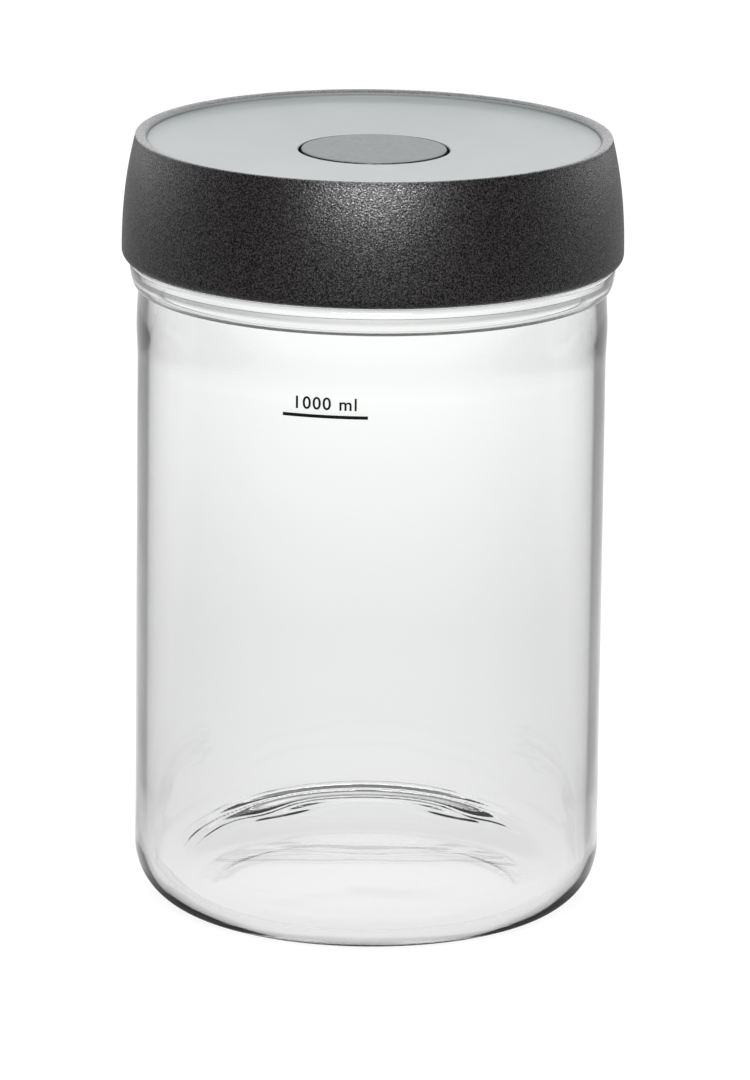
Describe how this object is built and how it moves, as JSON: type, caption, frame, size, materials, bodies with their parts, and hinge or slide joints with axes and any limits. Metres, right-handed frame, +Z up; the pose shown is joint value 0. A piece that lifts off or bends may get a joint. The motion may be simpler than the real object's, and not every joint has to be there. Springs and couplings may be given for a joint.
{
  "type": "fermentation jar",
  "caption": "Round clear glass jar with a dark screw-on lid, a recessed top and a lifting vent button in the middle.",
  "frame": {"origin": "on the jar's axis, in the plane of its foot ring", "axes": "+Z up along the jar's axis, -Y towards the viewer of the picture, +X to the viewer's right"},
  "size_m": [0.114, 0.114, 0.1792],
  "materials": {
    "glass": "clear, smooth",
    "shell": "fine grained, satin",
    "button": "matt",
    "liner": "smooth",
    "silicone": "soft, translucent",
    "clip": "brushed"
  },
  "bodies": {
    "jar": {"glass_jar": "glass"},
    "seal": {"sealing_ring": "silicone"},
    "lid": {"lid_liner": "liner", "lid_shell": "shell"},
    "valve": {"valve_cap": "button", "valve_seal": "silicone", "valve_clip": "clip"}
  },
  "joints": [
    {"name": "lid_lift", "type": "slide", "parent": "jar", "child": "seal", "axis": [0, 0, 1], "range_m": [0, 0.03]},
    {"name": "lid_turn", "type": "hinge", "parent": "seal", "child": "lid", "pos_m": [0, 0, 0.1716], "axis": [0, 0, 1], "range_deg": [0, 900]},
    {"name": "valve_lift", "type": "slide", "parent": "lid", "child": "valve", "axis": [0, 0, 1], "range_m": [0, 0.0012]}
  ],
  "couplings": [
    {"joint": "lid_lift", "follows": "lid_turn", "m_per_rad": 0.0019099}
  ]
}
